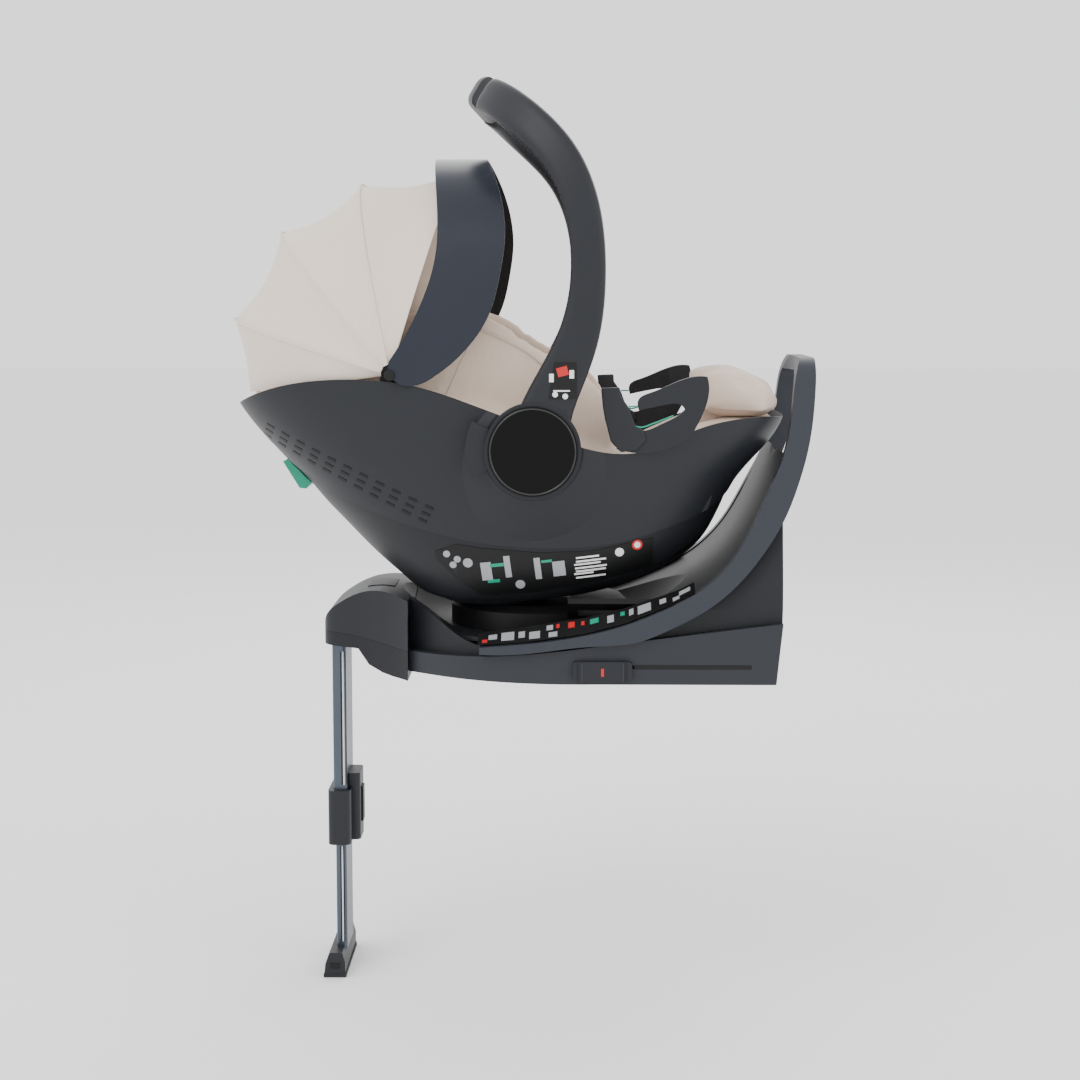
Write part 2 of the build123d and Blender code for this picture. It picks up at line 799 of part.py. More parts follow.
nodes["buckle"] = buckle()
nodes["buckle_button"] = buckle_button()
nodes["adjuster_strap"] = adjuster_strap()
nodes["adjuster_button"] = adjuster_button()
nodes["release_lever"] = release_lever()
nodes["rebound_bar"] = rebound_bar()
nodes["upper_housing"] = upper_housing()
nodes["lower_housing"] = lower_housing() - nodes["rebound_bar"]
nodes["leg_head"] = leg_head()
nodes["leg_yoke"] = leg_yoke()
nodes["nose_button"] = nose_plug(0, 71)
nodes["leg_hinge_pin"] = hinge_pin()
nodes["bowl_handle"] = bowl_handle()
nodes["turntable"] = turntable()
nodes["bearing_ring"] = bearing_ring()
nodes["latch_saddles"] = latch_saddles()
nodes["anchor_arms"] = anchor_arms()
nodes["slider_blocks"] = slider_block(-1) + slider_block(1)
nodes["arm_guides"] = arm_guides()
nodes["arm_button_near"] = arm_button(-1)
nodes["arm_button_far"] = arm_button(1)
nodes["leg_bracket"] = leg_bracket()
nodes["upper_tube"] = upper_tube()
nodes["leg_collar"] = leg_collar()
nodes["leg_button"] = leg_button()
nodes["lower_tube"] = lower_tube()
nodes["leg_foot"] = leg_foot()
nodes["leg_sole"] = leg_sole()

os.makedirs("parts", exist_ok=True)
for name, shape in nodes.items():
    export_step(shape, f"parts/{name}.step")
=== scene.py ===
import bpy
import json
import math
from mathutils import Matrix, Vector


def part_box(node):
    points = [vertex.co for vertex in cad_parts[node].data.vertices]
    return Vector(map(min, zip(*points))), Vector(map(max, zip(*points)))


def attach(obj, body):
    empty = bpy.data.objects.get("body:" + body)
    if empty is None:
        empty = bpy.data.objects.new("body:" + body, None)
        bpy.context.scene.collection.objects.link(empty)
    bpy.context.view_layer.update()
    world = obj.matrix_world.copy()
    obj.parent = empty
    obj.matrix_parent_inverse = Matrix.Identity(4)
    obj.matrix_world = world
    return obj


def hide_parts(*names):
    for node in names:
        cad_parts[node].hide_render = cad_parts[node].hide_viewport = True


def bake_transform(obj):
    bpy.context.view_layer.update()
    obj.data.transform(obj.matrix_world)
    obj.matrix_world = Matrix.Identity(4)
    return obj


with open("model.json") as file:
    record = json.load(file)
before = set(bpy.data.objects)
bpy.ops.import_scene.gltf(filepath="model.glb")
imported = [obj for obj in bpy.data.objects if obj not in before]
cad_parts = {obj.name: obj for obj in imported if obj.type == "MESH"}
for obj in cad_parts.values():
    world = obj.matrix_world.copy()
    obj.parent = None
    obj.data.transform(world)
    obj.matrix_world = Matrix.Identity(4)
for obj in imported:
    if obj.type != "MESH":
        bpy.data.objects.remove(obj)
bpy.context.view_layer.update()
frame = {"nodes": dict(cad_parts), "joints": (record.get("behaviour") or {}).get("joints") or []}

scene = bpy.context.scene
nodes = frame["nodes"]
joints = {joint["name"]: joint for joint in frame["joints"]}
nearSide, farSide = -1, 1


# small helpers

def deselectAll():
    if bpy.context.object and bpy.context.object.mode != "OBJECT":
        bpy.ops.object.mode_set(mode="OBJECT")
    bpy.ops.object.select_all(action="DESELECT")


def pick(piece):
    deselectAll()
    piece.select_set(True)
    bpy.context.view_layer.objects.active = piece
    return piece


def settle(piece):                      # place goes into the mesh, the object to the origin
    pick(piece)
    bpy.ops.object.transform_apply(location=True, rotation=True, scale=True)
    return piece


def finishModifiers(piece):
    pick(piece)
    for modifier in list(piece.modifiers):
        bpy.ops.object.modifier_apply(modifier=modifier.name)
    return piece


def modifier(piece, kind, **settings):
    added = piece.modifiers.new(kind.title(), kind)
    for key, value in settings.items():
        setattr(added, key, value)
    return added


def smooth(piece, degrees=35):
    pick(piece)
    bpy.ops.object.shade_smooth_by_angle(angle=math.radians(degrees))
    return piece


def recalc(piece):
    pick(piece)
    bpy.ops.object.mode_set(mode="EDIT")
    bpy.ops.mesh.select_all(action="SELECT")
    bpy.ops.mesh.remove_doubles(threshold=0.00001)
    bpy.ops.mesh.normals_make_consistent(inside=False)
    bpy.ops.object.mode_set(mode="OBJECT")
    return piece


def join(name, pieces):
    deselectAll()
    for piece in pieces:
        piece.select_set(True)
    bpy.context.view_layer.objects.active = pieces[0]
    if len(pieces) > 1:
        bpy.ops.object.join()
    joined = bpy.context.view_layer.objects.active
    joined.name = joined.data.name = name
    return joined


def dress(piece, finish, body, name=None):
    if name:
        piece.name = piece.data.name = name
    piece.data.materials.clear()
    piece.data.materials.append(finish)
    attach(piece, body)
    return piece


def mirrored(piece):                    # a copy on the other side, turned right side out
    copy = piece.copy()
    copy.data = piece.data.copy()
    scene.collection.objects.link(copy)
    for vertex in copy.data.vertices:
        vertex.co.y *= -1
    copy.data.flip_normals()
    return copy


def meshPiece(name, points, faces):
    mesh = bpy.data.meshes.new(name)
    mesh.from_pydata([tuple(point) for point in points], [], faces)
    piece = bpy.data.objects.new(name, mesh)
    scene.collection.objects.link(piece)
    return piece


def cadCopy(node, name):
    piece = nodes[node].copy()
    piece.data = nodes[node].data.copy()
    piece.parent = None
    for key in list(piece.keys()):
        del piece[key]
    scene.collection.objects.link(piece)
    piece.name = piece.data.name = name
    return recalc(piece)


def roundedPower(value, power):
    return math.copysign(abs(value) ** (2 / power), value)


# shader sums as plain expressions

class Sum:
    def __init__(self, finish, socket):
        self.finish, self.socket = finish, socket

    def maths(self, operation, first, second=None):
        found = {0: first} if second is None else {0: first, 1: second}
        return self.finish.node("ShaderNodeMath", {"operation": operation}, found)

    def __add__(self, other): return self.maths("ADD", self, other)
    def __sub__(self, other): return self.maths("SUBTRACT", self, other)
    def __rsub__(self, other): return self.maths("SUBTRACT", other, self)
    def __mul__(self, other): return self.maths("MULTIPLY", self, other)
    def __truediv__(self, other): return self.maths("DIVIDE", self, other)
    def sine(self): return self.maths("SINE", self)
    def absolute(self): return self.maths("ABSOLUTE", self)
    def over(self, edge): return self.maths("GREATER_THAN", self, edge)
    def power(self, by): return self.maths("POWER", self, by)
    __radd__, __rmul__ = __add__, __mul__


class Finish:
    def __init__(self, name, colour, roughness, **sockets):
        self.material = bpy.data.materials.new(name)
        self.material.use_nodes = True
        self.tree = self.material.node_tree
        self.shader = self.tree.nodes["Principled BSDF"]
        self.shader.inputs["Base Color"].default_value = (*colour, 1)
        self.shader.inputs["Roughness"].default_value = roughness
        for key, value in sockets.items():
            self.shader.inputs[key.replace("_", " ")].default_value = value
        self.colour, self.roughness = colour, roughness
        self.place = self.node("ShaderNodeTexCoord", {}, {}, "Object")

    def node(self, kind, settings, inputs, output=0):
        made = self.tree.nodes.new(kind)
        for key, value in settings.items():
            if key == "stops":
                for stop, (at, colour) in zip(made.color_ramp.elements, value):
                    stop.position, stop.color = at, (*colour, 1)
            else:
                setattr(made, key, value)
        for key, value in inputs.items():
            if isinstance(value, Sum):
                self.tree.links.new(value.socket, made.inputs[key])
            else:
                made.inputs[key].default_value = value
        return Sum(self, made.outputs[output])

    def noise(self, scale, detail=2.0, stretch=None):
        where = self.place
        if stretch:
            where = self.node("ShaderNodeMapping", {}, {"Vector": where, "Scale": stretch})
        return self.node("ShaderNodeTexNoise", {}, {"Vector": where, "Scale": scale, "Detail": detail})

    def axes(self):
        return [self.node("ShaderNodeSeparateXYZ", {}, {"Vector": self.place}, index) for index in range(3)]

    def blend(self, mask, low, high):   # colour that runs from low to high with the mask
        ramp = {"stops": [(0.0, low), (1.0, high)]}
        return self.node("ShaderNodeValToRGB", ramp, {"Fac": mask})

    def paint(self, colour=None, roughness=None, height=None, depth=0.0002, strength=0.6):
        if colour:
            self.tree.links.new(colour.socket, self.shader.inputs["Base Color"])
        if roughness:
            self.tree.links.new(roughness.socket, self.shader.inputs["Roughness"])
        if height:
            bump = self.node("ShaderNodeBump", {}, {"Height": height, "Distance": depth, "Strength": strength})
            self.tree.links.new(bump.socket, self.shader.inputs["Normal"])
        return self.material


def shade(colour, factor):
    return tuple(min(1.0, part * factor) for part in colour)


def plasticFinish(name, colour, roughness, grain=1500.0, depth=0.00006, **sockets):
    sockets = {"Specular_IOR_Level": 0.28, **sockets}
    finish = Finish(name, colour, roughness, **sockets)
    cloud = finish.noise(6.0, 3.0)
    fine = finish.noise(grain, 2.0)
    scuff = finish.noise(90.0, 4.0)
    tone = finish.blend(cloud * 0.6 + scuff * 0.4, shade(colour, 0.86), shade(colour, 1.14))
    rough = roughness - 0.05 + cloud * 0.06 + scuff * 0.04
    return finish.paint(tone, rough, fine, depth, 0.5)


def clothFinish(name, colour, thread=0.0011, depth=0.00025, fleck=0.10, **sockets):
    finish = Finish(name, colour, 0.85, **sockets)
    along, across, up = finish.axes()
    turn = 2 * math.pi / thread
    warp = ((along + up * 0.7) * turn).sine()
    weft = ((across + up * 0.7 - along * 0.2) * turn).sine()
    weave = warp * weft * 0.5 + 0.5
    slub = finish.noise(260.0, 3.0, (1.0, 1.0, 0.25))
    cloud = finish.noise(9.0, 2.0)
    mix = weave * 0.25 + slub * 0.45 + cloud * 0.3
    tone = finish.blend(mix, shade(colour, 1 - fleck * 1.4), shade(colour, 1 + fleck))
    rough = 0.78 + slub * 0.14
    return finish.paint(tone, rough, weave * 0.7 + slub * 0.6, depth, 0.6)


def brushedFinish(name, colour, roughness, stretch, **sockets):
    finish = Finish(name, colour, roughness, Metallic=1.0, **sockets)
    streak = finish.noise(420.0, 3.0, stretch)
    cloud = finish.noise(12.0, 2.0)
    tone = finish.blend(streak * 0.7 + cloud * 0.3, shade(colour, 0.82), shade(colour, 1.15))
    return finish.paint(tone, roughness - 0.08 + streak * 0.16, streak, 0.00004, 0.4)


colours = {
    "slate": (0.0125, 0.0138, 0.0175),
    "band": (0.024, 0.027, 0.036),
    "visor": (0.015, 0.018, 0.028),
    "cream": (0.66, 0.53, 0.43),
    "canopy": (0.76, 0.655, 0.56),
    "black": (0.0035, 0.0036, 0.004),
    "aluminium": (0.085, 0.10, 0.125),
    "steel": (0.55, 0.56, 0.58),
    "green": (0.01, 0.26, 0.16),
    "red": (0.50, 0.02, 0.02),
    "white": (0.75, 0.75, 0.75),
}
slate = plasticFinish("slatePlastic", colours["slate"], 0.46)
slateDark = plasticFinish("slateDarkPlastic", shade(colours["slate"], 0.72), 0.5)
bandGrey = plasticFinish("bandPlastic", colours["band"], 0.44)
visorSatin = plasticFinish("visorSatin", colours["visor"], 0.3, 900.0, 0.00002, Specular_IOR_Level=0.25)
blackSatin = plasticFinish("blackSatin", colours["black"], 0.5)
blackGloss = plasticFinish("blackGloss", colours["black"], 0.16, 400.0, 0.00001, Coat_Weight=0.6)
hubBlack = plasticFinish("hubBlack", shade(colours["black"], 0.6), 0.3, 900.0, 0.00001, Specular_IOR_Level=0.12)
slateLight = plasticFinish("slateLightPlastic", shade(colours["slate"], 1.5), 0.44)
# painted highlight: a light grey finish for the strip that stands in for the gloss highlight along the leg's groove
brightStrip = plasticFinish("brightStrip", (0.55, 0.57, 0.60), 0.35)
cream = clothFinish("creamCloth", colours["cream"], Sheen_Weight=0.15)
canopyCloth = clothFinish("canopyCloth", colours["canopy"], 0.0008, 0.00012, 0.05, Sheen_Weight=0.15)
# painted shade: the visor lining gets near-black cloth for the inside of the visor, which lies in shadow
paintedShadeLining = clothFinish("paintedShadeLining", colours["black"], 0.0012, 0.0003, 0.2)
webbingCloth = clothFinish("harnessWebbing", (0.03, 0.03, 0.034), 0.0024, 0.0005, 0.25)
threadCloth = clothFinish("creamThread", shade(colours["cream"], 0.86), 0.0006, 0.0002)
aluminium = brushedFinish("anodisedAluminium", colours["aluminium"], 0.38, (1.0, 1.0, 0.03))
steel = brushedFinish("brightSteel", colours["steel"], 0.3, (0.04, 1.0, 1.0))
green = plasticFinish("greenPlastic", colours["green"], 0.35)
red = plasticFinish("redPlastic", colours["red"], 0.35)
white = plasticFinish("whitePrint", colours["white"], 0.5)
greyPrint = plasticFinish("greyPrint", (0.30, 0.31, 0.33), 0.5)
rubber = plasticFinish("soleRubber", (0.02, 0.02, 0.022), 0.8, 700.0, 0.0002)
beadFoam = plasticFinish("beadFoam", (0.45, 0.45, 0.46), 0.85, 260.0, 0.0006)
print("finishes ready", flush=True)

nodeFinishes = {
    "upper_shell": slate, "lower_shell": slateDark, "energy_foam": beadFoam, "handle_axles": blackSatin,
    "latch_bars": steel, "belt_guides": slate, "canopy_pins": blackSatin, "buckle": blackSatin,
    "release_lever": green, "adjuster_button": blackSatin, "buckle_button": red, "handle_bow": slate,
    "handle_grip": slate, "hub_caps": hubBlack, "handle_button_near": slate, "handle_button_far": slate,
    "canopy_rib_1": blackSatin, "canopy_rib_2": blackSatin, "canopy_rib_3": blackSatin,
    "canopy_visor": visorSatin, "visor_lining": paintedShadeLining, "rebound_bar": bandGrey,
    "upper_housing": slateDark, "lower_housing": slateLight, "leg_head": slate, "leg_yoke": slateDark,
    "leg_hinge_pin": steel, "bearing_ring": blackSatin, "arm_guides": steel, "nose_button": slateDark,
    "bowl_handle": blackSatin, "turntable": blackSatin, "latch_saddles": steel, "leg_bracket": blackSatin,
    "upper_tube": aluminium, "lower_tube": aluminium, "leg_collar": slate, "leg_button": blackSatin,
    "leg_foot": slate, "leg_sole": rubber, "anchor_arms": steel, "slider_blocks": slate,
    "arm_button_near": green, "arm_button_far": green,
}
deselectAll()
for name, finish in nodeFinishes.items():
    nodes[name].data.materials.clear()
    nodes[name].data.materials.append(finish)


# floor, lights and camera

studio = {
    "floorSize": 40.0, "floorColour": (0.93, 0.93, 0.93), "world": 1.6,
    "cameraPlace": (0.0407, -2.4821, 0.4376), "cameraAim": (0.0, 0.0, 0.142), "lens": 69.43,
    "keySize": 1.8, "keyPower": 45.0, "fillPower": 16.0, "backPower": 30.0,
}


def makeStudio():
    deselectAll()
    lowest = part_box("leg_sole")[0][2]
    bpy.ops.mesh.primitive_plane_add(size=studio["floorSize"], location=(0, 0, lowest - 0.0005))
    floor = settle(bpy.context.object)
    floor.name = "studioFloor"
    surface = Finish("paleFloor", studio["floorColour"], 0.9)
    patch = surface.noise(3.0, 2.0)
    tint = studio["floorColour"]
    floor.data.materials.append(surface.paint(surface.blend(patch, shade(tint, 0.99), shade(tint, 1.01))))
    world = bpy.data.worlds.new("softRoom")
    scene.world = world
    world.use_nodes = True
    world.node_tree.nodes["Background"].inputs[0].default_value = (1, 1, 1, 1)
    world.node_tree.nodes["Background"].inputs[1].default_value = studio["world"]
    lights = [("keyLight", (-1.6, -1.9, 2.6), studio["keyPower"], studio["keySize"]),
              ("fillLight", (2.4, -1.6, 1.2), studio["fillPower"], 2.0),
              ("backLight", (0.4, 2.4, 2.2), studio["backPower"], 2.4)]
    for name, place, power, size in lights:
        bpy.ops.object.light_add(type="AREA", location=place)
        light = bpy.context.object
        light.name = name
        light.data.energy, light.data.size = power, size
        aim = Vector((0, 0, 0.2)) - light.location
        light.rotation_euler = aim.to_track_quat("-Z", "Y").to_euler()
    bpy.ops.object.camera_add(location=studio["cameraPlace"])
    camera = bpy.context.object
    aim = Vector(studio["cameraAim"]) - camera.location
    camera.rotation_euler = aim.to_track_quat("-Z", "Y").to_euler()
    camera.data.lens, camera.data.sensor_width = studio["lens"], 36.0
    scene.camera = camera


makeStudio()
print("studio ready", flush=True)


# canopy: four curved cloth panels between the ribs

canopy = {
    "angles": (188.0, 163.0, 131.0, 101.7, 73.0),     # degrees from the foot end, about the pivot
    "halfWidths": (0.173, 0.1794, 0.1824, 0.1854, 0.1852),
    "heights": (0.184, 0.206, 0.213, 0.220, 0.2405),
    "powers": (2.0, 2.2, 2.35, 2.5, 2.5),
    "sags": (0.004, 0.0105, 0.0105, 0.009),
    "footRadius": 0.012, "across": 72, "along": 16, "thickness": 0.0012, "pipe": 0.0011,
}
pivot = Vector(joints["canopy_fold"]["pos_m"])


def archPoint(share, angle, halfWidth, height, power, grow=0.0):
    # share runs 0 to 1 from the near foot over the top to the far foot
    turn = math.pi * share
    y = -(halfWidth + grow) * roundedPower(math.cos(turn), power)
    reach = (height + grow) * roundedPower(math.sin(turn), power)
    reach = max(reach, canopy["footRadius"])
    radians = math.radians(angle)
    return Vector((pivot.x + reach * math.cos(radians), y, pivot.z + reach * math.sin(radians)))


def panelPoint(index, share, part):
    low = [canopy[key][index] for key in ("angles", "halfWidths", "heights", "powers")]
    high = [canopy[key][index + 1] for key in ("angles", "halfWidths", "heights", "powers")]
    first, last = archPoint(share, *low), archPoint(share, *high)
    point = first.lerp(last, part)
    middle = pivot + Vector((0, 0, 0.02))
    inward = (middle - point).normalized()
    over = math.sin(math.pi * share) ** 0.7
    sag = canopy["sags"][index] * 4 * part * (1 - part) * over
    tuck = 0.0016 * math.exp(-((min(part, 1 - part) * 16) ** 2)) * over
    return point + inward * (sag + tuck)


def canopyPanel(index):
    across, along = canopy["across"], canopy["along"]
    points, faces = [], []
    for row in range(along + 1):
        for column in range(across + 1):
            points.append(panelPoint(index, column / across, row / along))
    for row in range(along):
        for column in range(across):
            corner = row * (across + 1) + column
            faces.append((corner, corner + 1, corner + across + 2, corner + across + 1))
    panel = meshPiece(f"canopyPanel{index + 1}", points, faces)
    panel = recalc(panel)
    flatSize = sheetSize(index)
    modifier(panel, "SOLIDIFY", thickness=canopy["thickness"], offset=-1.0)
    finishModifiers(panel)
    smooth(panel, 50)
    panel.data.materials.append(canopyCloth)
    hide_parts(f"canopy_panel_{index + 1}")
    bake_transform(panel)


def sheetSize(index):                   # longest arch by widest rib spacing, and the real area
    across, along = canopy["across"], canopy["along"]
    grid = [[panelPoint(index, column / across, row / along) for column in range(across + 1)]
            for row in range(along + 1)]
    arch = max(sum((a - b).length for a, b in zip(row, row[1:])) for row in grid)
    depth = max(sum((grid[r][c] - grid[r + 1][c]).length for r in range(along)) for c in range(across + 1))
    area = 0.0
    for r in range(along):
        for c in range(across):
            a, b, d, e = grid[r][c], grid[r][c + 1], grid[r + 1][c], grid[r + 1][c + 1]
            area += ((b - a).cross(d - a)).length / 2 + ((b - e).cross(d - e)).length / 2
    return (arch, depth, min(area, arch * depth))


def tube(name, route, radius, finish, resolution=4, cyclic=False):
    curve = bpy.data.curves.new(name, "CURVE")
    curve.dimensions = "3D"
    spline = curve.splines.new("POLY")
    spline.points.add(len(route) - 1)
    for point, at in zip(spline.points, route):
        point.co = (*at, 1)
    spline.use_cyclic_u = cyclic
    curve.bevel_depth, curve.bevel_resolution = radius, resolution
    curve.use_fill_caps = not cyclic
    piece = bpy.data.objects.new(name, curve)
    scene.collection.objects.link(piece)
    pick(piece)
    bpy.ops.object.convert(target="MESH")
    piece = bpy.context.object
    piece.name = piece.data.name = name
    smooth(piece, 60)
    piece.data.materials.append(finish)
    return piece


def canopySeam(index, body):
    values = [canopy[key][index] for key in ("angles", "halfWidths", "heights", "powers")]
    steps = 90
    route = [archPoint(step / steps, *values, grow=0.0004) for step in range(steps + 1)]
    seam = tube(f"canopySeam{index}", route, canopy["pipe"], canopyCloth, 3)
    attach(seam, body)


def makeCanopy():
    canopyPanel(0)
    canopyPanel(1)
    canopyPanel(2)
    canopyPanel(3)
    for index, body in ((1, "rib_1"), (2, "rib_2"), (3, "rib_3")):
        canopySeam(index, body)


makeCanopy()
print("canopy ready", flush=True)


# padded cloth

padding = {
    "seat_liner": {"voxel": 0.0055, "pressure": 1.5, "cap": 0.004, "shrink": 0.0012, "body": "carrier"},
    "newborn_insert": {"voxel": 0.005, "pressure": 4.0, "cap": 0.012, "shrink": 0.004, "body": "carrier"},
    "foot_cushion": {"voxel": 0.0045, "pressure": 4.0, "cap": 0.008, "shrink": 0.004, "body": "carrier"},
    "headrest": {"voxel": 0.0045, "pressure": 4.0, "cap": 0.01, "shrink": 0.003, "body": "headrest"},
    "shoulder_pad_near": {"voxel": 0.003, "pressure": 3.0, "cap": 0.004, "shrink": 0.001, "body": "carrier"},
    "shoulder_pad_far": {"voxel": 0.003, "pressure": 3.0, "cap": 0.004, "shrink": 0.001, "body": "carrier"},
    "crotch_pad": {"voxel": 0.003, "pressure": 3.0, "cap": 0.004, "shrink": 0.001, "body": "carrier"},
}
simulation = {"frames": 20, "air": 0.6}


def padCloth(node, values):
    pad = cadCopy(node, node.title().replace("_", "") + "Cloth")
    modifier(pad, "REMESH", mode="VOXEL", voxel_size=values["voxel"])
    finishModifiers(pad)
    recalc(pad)
    mesh = pad.data
    normals = [vertex.normal.copy() for vertex in mesh.vertices]
    for vertex, normal in zip(mesh.vertices, normals):
        vertex.co -= normal * values["shrink"]
    modifier(pad, "SMOOTH", factor=0.5, iterations=6)
    finishModifiers(pad)
    inflate(pad, values)
    smooth(pad, 70)
    dress(pad, cream, values["body"])
    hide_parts(node)
    return pad


def inflate(pad, values):
    start = [vertex.co.copy() for vertex in pad.data.vertices]
    cloth = pad.modifiers.new("Inflate", "CLOTH")
    cloth.settings.use_pressure = True
    cloth.settings.uniform_pressure_force = values["pressure"]
    cloth.settings.effector_weights.gravity = 0
    cloth.settings.quality = 4
    cloth.point_cache.frame_start, cloth.point_cache.frame_end = 1, simulation["frames"]
    for frameNumber in range(1, simulation["frames"] + 1):
        scene.frame_set(frameNumber)
    finishModifiers(pad)
    for vertex, home in zip(pad.data.vertices, start):
        moved = vertex.co - home
        if moved.length > values["cap"]:
            vertex.co = home + moved.normalized() * values["cap"]
    scene.frame_set(1)


for node, values in padding.items():
    padCloth(node, values)
    print("padded", node, flush=True)

for node in ("harness_strap_near", "harness_strap_far", "adjuster_strap"):
    strap = cadCopy(node, node.title().replace("_", "") + "Web")
    modifier(strap, "BEVEL", width=0.0004, segments=2, limit_method="ANGLE")
    finishModifiers(strap)
    smooth(strap, 40)
    dress(strap, webbingCloth, "carrier")
    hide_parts(node)
print("straps ready", flush=True)


# generic labels, vents, seams and small trim, each laid on the part that carries it

def metres(points):
    return [tuple(value / 1000 for value in point) for point in points]


def quadGrid(corners, y, cell=0.004):
    a, b, c, d = [Vector((x, y, z)) for x, z in metres(corners)]
    across = max(2, min(60, int((b - a).length / cell)))
    down = max(2, min(24, int((d - a).length / cell)))
    points, faces = [], []
    for row in range(down + 1):
        for column in range(across + 1):
            top = a.lerp(b, column / across)
            points.append(top.lerp(d.lerp(c, column / across), row / down))
    for row in range(down):
        for column in range(across):
            corner = row * (across + 1) + column
            faces.append((corner, corner + 1, corner + across + 2, corner + across + 1))
    return points, faces


def roundGrid(x, z, radius, y, steps=8):
    points, faces = [], []
    for row in range(steps + 1):
        for column in range(steps + 1):
            u, v = 2 * column / steps - 1, 2 * row / steps - 1
            points.append(Vector(((x + radius * u * math.sqrt(1 - v * v / 2)) / 1000, y,
                                  (z + radius * v * math.sqrt(1 - u * u / 2)) / 1000)))
    for row in range(steps):
        for column in range(steps):
            corner = row * (steps + 1) + column
            faces.append((corner, corner + 1, corner + steps + 2, corner + steps + 1))
    return points, faces


def inlay(name, quads, target, finish, body, slot, side=nearSide, lift=0.0004, depth=0.0005):
    points, faces = [], []
    for corners in quads:
        if len(corners) == 3:
            more, theirs = roundGrid(*corners, side * 0.26)
        else:
            more, theirs = quadGrid(corners, side * 0.26)
        faces += [tuple(index + len(points) for index in face) for face in theirs]
        points += more
    piece = meshPiece(name + ("Near" if side == nearSide else "Far"), points, faces)
    towards = {"use_negative_direction": side == farSide, "use_positive_direction": side == nearSide}
    modifier(piece, "SHRINKWRAP", target=nodes[target], wrap_method="PROJECT", use_project_y=True,
             offset=lift, **towards)
    finishModifiers(piece)
    dropStrays(piece)
    modifier(piece, "SOLIDIFY", thickness=depth, offset=0)
    finishModifiers(piece)
    recalc(piece)
    dress(piece, finish, body)
    return piece


def dropStrays(piece):                  # corners that found no surface under them are taken away
    strays = [vertex for vertex in piece.data.vertices if abs(vertex.co.y) > 0.25]
    if not strays:
        return
    pick(piece)
    bpy.ops.object.mode_set(mode="EDIT")
    bpy.ops.mesh.select_all(action="DESELECT")
    bpy.ops.object.mode_set(mode="OBJECT")
    for vertex in piece.data.vertices:
        vertex.select = abs(vertex.co.y) > 0.25
    bpy.ops.object.mode_set(mode="EDIT")
    bpy.ops.mesh.delete(type="VERT")
    bpy.ops.object.mode_set(mode="OBJECT")
    print("strays taken from", piece.name, flush=True)


def plateFrom(name, values, side, finish, body="carrier"):
    outline = values["outline"]
    count = len(outline)
    points = [(x / 1000, side * values["inner"] / 1000, z / 1000) for x, z in outline]
    points += [(x / 1000, side * values["outer"] / 1000, z / 1000) for x, z in outline]
    faces = [tuple(range(count)), tuple(range(2 * count - 1, count - 1, -1))]
    faces += [(k, (k + 1) % count, count + (k + 1) % count, count + k) for k in range(count)]
    piece = recalc(meshPiece(name + ("Near" if side == nearSide else "Far"), points, faces))
    modifier(piece, "BEVEL", width=values["edge"], segments=3, limit_method="ANGLE", angle_limit=math.radians(50))
    finishModifiers(piece)
    smooth(piece, 50)
    return dress(piece, finish, body)


def bothInlays(*values, **named):
    inlay(*values, side=nearSide, **named)
    inlay(*values, side=farSide, **named)


def bar(x, z, length, height, turn=0.0):
    along = Vector((math.cos(math.radians(turn)), math.sin(math.radians(turn)))) * length / 2
    up = Vector((-along.y, along.x)).normalized() * height / 2
    middle = Vector((x, z))
    return [tuple(middle - along + up), tuple(middle + along + up), tuple(middle + along - up),
            tuple(middle - along - up)]


def slotRow(start, end, count, length, height):
    turn = math.degrees(math.atan2(end[1] - start[1], end[0] - start[0]))
    places = [(start[0] + (end[0] - start[0]) * k / (count - 1),
               start[1] + (end[1] - start[1]) * k / (count - 1)) for k in range(count)]
    return [bar(x, z, length, height, turn) for x, z in places]


vents = {
    "top": ((-307, 285), (-121, 198.5)), "bottom": (( -314, 272), (-129, 183)), "rows": 3, "slots": 11,
    "length": 10.5, "height": 3.0,
    "slanted": ((150, 133), (178, 152)), "slantedCount": 4, "slantedLength": 30, "slantedTurn": 45,
}


# painted shade: black satin slot decals on the upper and lower shells stand in for the dark insides of the vent
# openings, which are not cut
def makeVents():
    quads = []
    for row in range(vents["rows"]):
        share = row / (vents["rows"] - 1)
        start = tuple(a + (b - a) * share for a, b in zip(vents["top"][0], vents["bottom"][0]))
        end = tuple(a + (b - a) * share for a, b in zip(vents["top"][1], vents["bottom"][1]))
        quads += slotRow(start, end, vents["slots"], vents["length"], vents["height"])
    bothInlays("shellVents", quads, "upper_shell", blackSatin, "carrier", "black_plastic")
    (x0, z0), (x1, z1) = vents["slanted"]
    count = vents["slantedCount"]
    slanted = [bar(x0 + (x1 - x0) * k / (count - 1), z0 + (z1 - z0) * k / (count - 1),
                   vents["slantedLength"], 2.6, vents["slantedTurn"]) for k in range(count)]
    bothInlays("lowerVents", slanted, "lower_shell", blackSatin, "carrier", "black_plastic")


